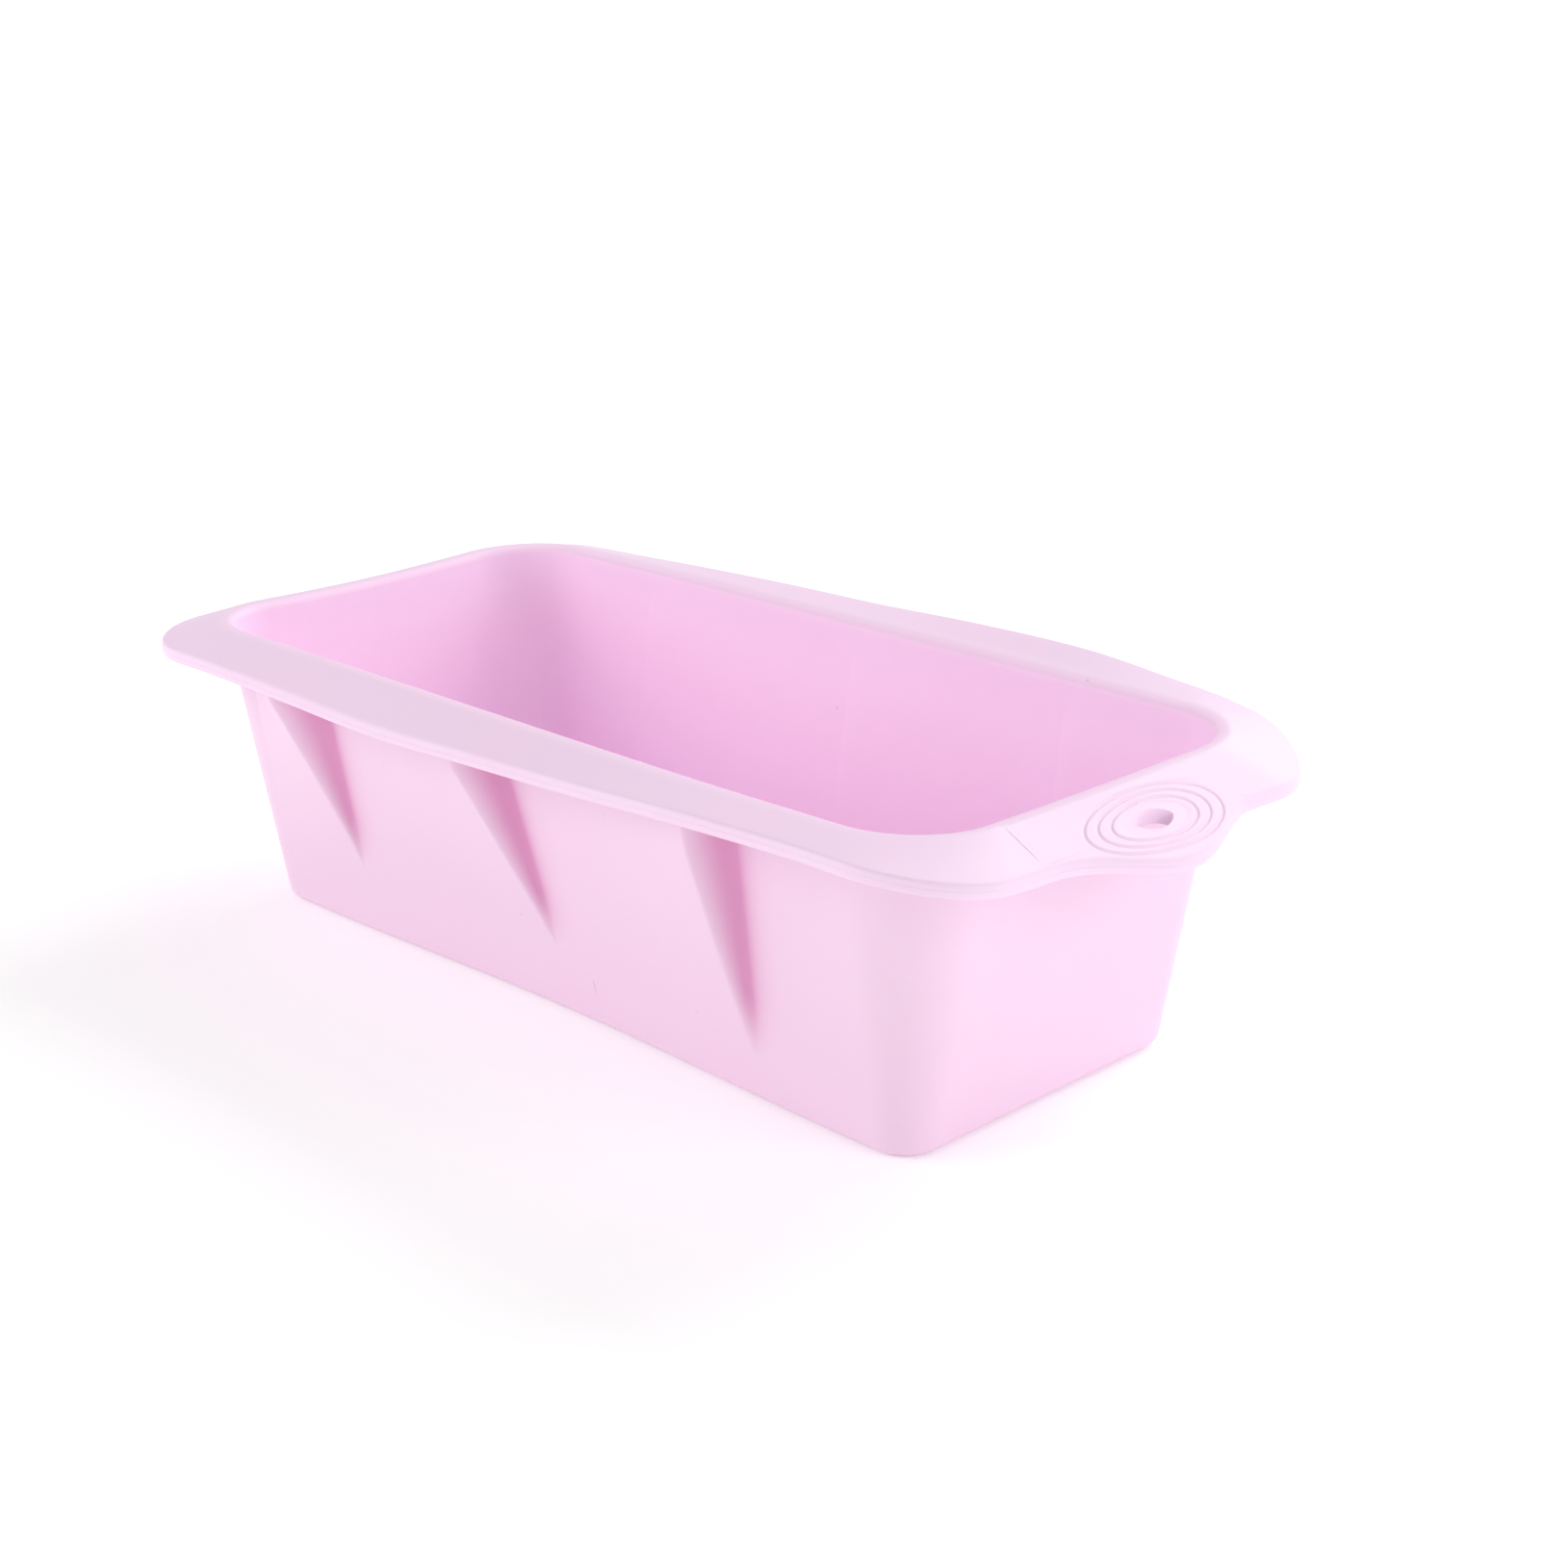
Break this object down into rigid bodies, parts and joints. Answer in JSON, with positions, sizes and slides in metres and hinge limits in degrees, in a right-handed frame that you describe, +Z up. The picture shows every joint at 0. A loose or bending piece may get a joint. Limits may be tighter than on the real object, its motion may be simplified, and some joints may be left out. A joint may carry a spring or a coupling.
{
  "type": "soap loaf mould",
  "caption": "Flexible open-topped loaf mould with drafted pleated walls, rounded corners, a drooping rim and a slotted ear at each end.",
  "frame": {"origin": "middle of the flat underside, where the mould stands", "axes": "+Z up, +X along the loaf towards the right-hand ear, +Y across it towards the back wall"},
  "size_m": [0.2666, 0.123, 0.07],
  "materials": {
    "silicone": "soft satin moulded silicone, pale pink, slightly translucent"
  },
  "bodies": {
    "tray": {"floor": "silicone", "front_left_corner": "silicone", "front_right_corner": "silicone", "back_left_corner": "silicone", "back_right_corner": "silicone"},
    "front_wall": {"front_wall": "silicone"},
    "back_wall": {"back_wall": "silicone"},
    "left_end": {"left_end_wall": "silicone"},
    "right_end": {"right_end_wall": "silicone"},
    "left_ear": {"left_ear": "silicone"},
    "right_ear": {"right_ear": "silicone"}
  },
  "joints": [
    {"name": "front_wall_flex", "type": "hinge", "parent": "tray", "child": "front_wall", "pos_m": [0, -0.0406, 0.00615], "axis": [1, 0, 0], "range_deg": [-4, 12], "stiffness_Nm_per_rad": 1.2},
    {"name": "back_wall_flex", "type": "hinge", "parent": "tray", "child": "back_wall", "pos_m": [0, 0.0406, 0.00615], "axis": [-1, 0, 0], "range_deg": [-4, 12], "stiffness_Nm_per_rad": 1.2},
    {"name": "left_end_flex", "type": "hinge", "parent": "tray", "child": "left_end", "pos_m": [-0.10256, 0, 0.00615], "axis": [0, -1, 0], "range_deg": [-3, 8], "stiffness_Nm_per_rad": 1},
    {"name": "right_end_flex", "type": "hinge", "parent": "tray", "child": "right_end", "pos_m": [0.10256, 0, 0.00615], "axis": [0, 1, 0], "range_deg": [-3, 8], "stiffness_Nm_per_rad": 1},
    {"name": "left_ear_flex", "type": "hinge", "parent": "left_end", "child": "left_ear", "pos_m": [-0.11785, 0, 0.0668], "axis": [0, 1, 0], "range_deg": [-20, 50], "stiffness_Nm_per_rad": 0.08},
    {"name": "right_ear_flex", "type": "hinge", "parent": "right_end", "child": "right_ear", "pos_m": [0.11785, 0, 0.0679], "axis": [0, -1, 0], "range_deg": [-20, 50], "stiffness_Nm_per_rad": 0.08}
  ]
}
